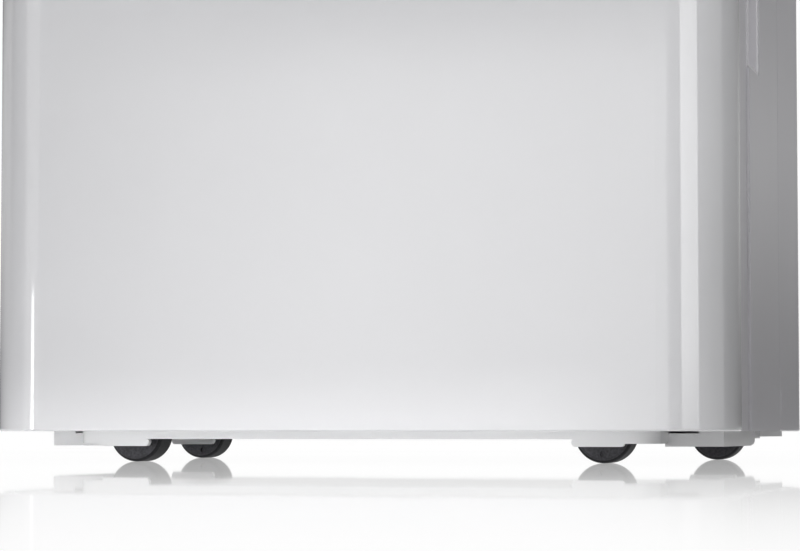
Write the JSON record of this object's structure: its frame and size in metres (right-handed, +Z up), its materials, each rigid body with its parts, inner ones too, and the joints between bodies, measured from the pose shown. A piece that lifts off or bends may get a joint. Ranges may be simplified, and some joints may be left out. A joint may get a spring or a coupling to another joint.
{
  "type": "dehumidifier",
  "caption": "Upright compressor dehumidifier with a glossy front, recessed side hand holds, top controls and outlet flap, rear intake grille and pull-out tank, on small side-rolling wheels.",
  "frame": {"origin": "on the floor under the centre of the cabinet", "axes": "X right seen from the front, Y front to rear, Z up"},
  "size_m": [0.386, 0.248, 0.59],
  "materials": {
    "gloss_white": "glossy",
    "satin_white": "satin",
    "base_white": "satin",
    "fascia_grey": "glossy",
    "display_black": "glossy",
    "button_white": "satin",
    "lamp_green": "translucent",
    "wheel_grey": "fine moulded texture",
    "black_plastic": "satin",
    "black_rubber": "matte",
    "steel": "turned",
    "tank_plastic": "satin, slightly translucent",
    "gauge_clear": "clear",
    "float_foam": "foam",
    "filter_grey": "satin",
    "filter_mesh": "fine net",
    "fin_aluminium": "mill finish",
    "copper": "drawn tube",
    "inner_grey": "satin",
    "motor_black": "semi-gloss paint",
    "board_green": "solder mask",
    "capacitor_can": "drawn can"
  },
  "bodies": {
    "cabinet": {"front_cover": "gloss_white", "top_cover": "gloss_white", "centre_frame": "satin_white", "left_side_panel": "satin_white", "right_side_panel": "satin_white", "rear_cover": "satin_white", "outlet_vanes": "satin_white", "left_hand_hold": "satin_white", "right_hand_hold": "satin_white", "base_tray": "base_white", "control_fascia": "fascia_grey", "display_window": "display_black", "indicator_lamps": "lamp_green", "wheel_brackets": "black_plastic", "tank_switch": "black_plastic", "compressor_feet": "black_rubber", "cord_gland": "black_rubber", "wheel_axles": "steel", "evaporator_core": "fin_aluminium", "condenser_core": "fin_aluminium", "evaporator_headers": "copper", "condenser_headers": "copper", "discharge_pipe": "copper", "suction_pipe": "copper", "capillary_tube": "copper", "drip_tray": "inner_grey", "drain_spigot": "inner_grey", "partition": "inner_grey", "fan_scroll": "inner_grey", "outlet_duct": "inner_grey", "fan_motor": "motor_black", "compressor": "motor_black", "control_board": "board_green", "run_capacitor": "capacitor_can"},
    "roller_front_left": {"wheel_front_left": "wheel_grey"},
    "roller_front_right": {"wheel_front_right": "wheel_grey"},
    "roller_rear_left": {"wheel_rear_left": "wheel_grey"},
    "roller_rear_right": {"wheel_rear_right": "wheel_grey"},
    "fan": {"fan_impeller": "inner_grey", "fan_shaft": "steel"},
    "flap": {"outlet_flap": "satin_white"},
    "fan_key": {"fan_button": "button_white"},
    "mode_key": {"mode_button": "button_white"},
    "power_key": {"power_button": "button_white"},
    "timer_key": {"timer_button": "button_white"},
    "humidity_down_key": {"humidity_down_button": "button_white"},
    "humidity_up_key": {"humidity_up_button": "button_white"},
    "tank": {"water_tank": "tank_plastic", "tank_handle": "tank_plastic", "tank_lid": "tank_plastic", "level_gauge": "gauge_clear"},
    "float": {"tank_float": "float_foam"},
    "intake": {"intake_grille": "satin_white", "filter_frame": "filter_grey", "filter_net": "filter_mesh"},
    "plug": {"drain_plug": "black_rubber"}
  },
  "joints": [
    {"name": "front_left_spin", "type": "hinge", "parent": "cabinet", "child": "roller_front_left", "pos_m": [-0.122, -0.072, 0.0145], "axis": [0, 1, 0], "continuous": true},
    {"name": "front_right_spin", "type": "hinge", "parent": "cabinet", "child": "roller_front_right", "pos_m": [0.122, -0.072, 0.0145], "axis": [0, 1, 0], "continuous": true},
    {"name": "rear_left_spin", "type": "hinge", "parent": "cabinet", "child": "roller_rear_left", "pos_m": [-0.151, 0.091, 0.0145], "axis": [0, 1, 0], "continuous": true},
    {"name": "rear_right_spin", "type": "hinge", "parent": "cabinet", "child": "roller_rear_right", "pos_m": [0.151, 0.091, 0.0145], "axis": [0, 1, 0], "continuous": true},
    {"name": "fan_spin", "type": "hinge", "parent": "cabinet", "child": "fan", "pos_m": [0, 0.015, 0.377], "axis": [0, 1, 0], "continuous": true},
    {"name": "flap_hinge", "type": "hinge", "parent": "cabinet", "child": "flap", "pos_m": [0, 0.0769, 0.5872], "axis": [-1, 0, 0], "range_deg": [0, 80]},
    {"name": "fan_press", "type": "slide", "parent": "cabinet", "child": "fan_key", "axis": [0, 0, -1], "range_m": [0, 0.0012], "stiffness_N_per_m": 500, "springref_m": -0.0004},
    {"name": "mode_press", "type": "slide", "parent": "cabinet", "child": "mode_key", "axis": [0, 0, -1], "range_m": [0, 0.0012], "stiffness_N_per_m": 500, "springref_m": -0.0004},
    {"name": "power_press", "type": "slide", "parent": "cabinet", "child": "power_key", "axis": [0, 0, -1], "range_m": [0, 0.0012], "stiffness_N_per_m": 500, "springref_m": -0.0004},
    {"name": "timer_press", "type": "slide", "parent": "cabinet", "child": "timer_key", "axis": [0, 0, -1], "range_m": [0, 0.0012], "stiffness_N_per_m": 500, "springref_m": -0.0004},
    {"name": "humidity_down_press", "type": "slide", "parent": "cabinet", "child": "humidity_down_key", "axis": [0, 0, -1], "range_m": [0, 0.0012], "stiffness_N_per_m": 500, "springref_m": -0.0004},
    {"name": "humidity_up_press", "type": "slide", "parent": "cabinet", "child": "humidity_up_key", "axis": [0, 0, -1], "range_m": [0, 0.0012], "stiffness_N_per_m": 500, "springref_m": -0.0004},
    {"name": "tank_slide", "type": "slide", "parent": "cabinet", "child": "tank", "axis": [0, 1, 0], "range_m": [0, 0.12]},
    {"name": "float_hinge", "type": "hinge", "parent": "tank", "child": "float", "pos_m": [-0.105, 0.0489, 0.2083], "axis": [1, 0, 0], "range_deg": [0, 25]},
    {"name": "intake_pull", "type": "slide", "parent": "cabinet", "child": "intake", "axis": [0, 1, 0], "range_m": [0, 0.06]},
    {"name": "plug_pull", "type": "slide", "parent": "cabinet", "child": "plug", "axis": [0, 1, 0], "range_m": [0, 0.03]}
  ]
}
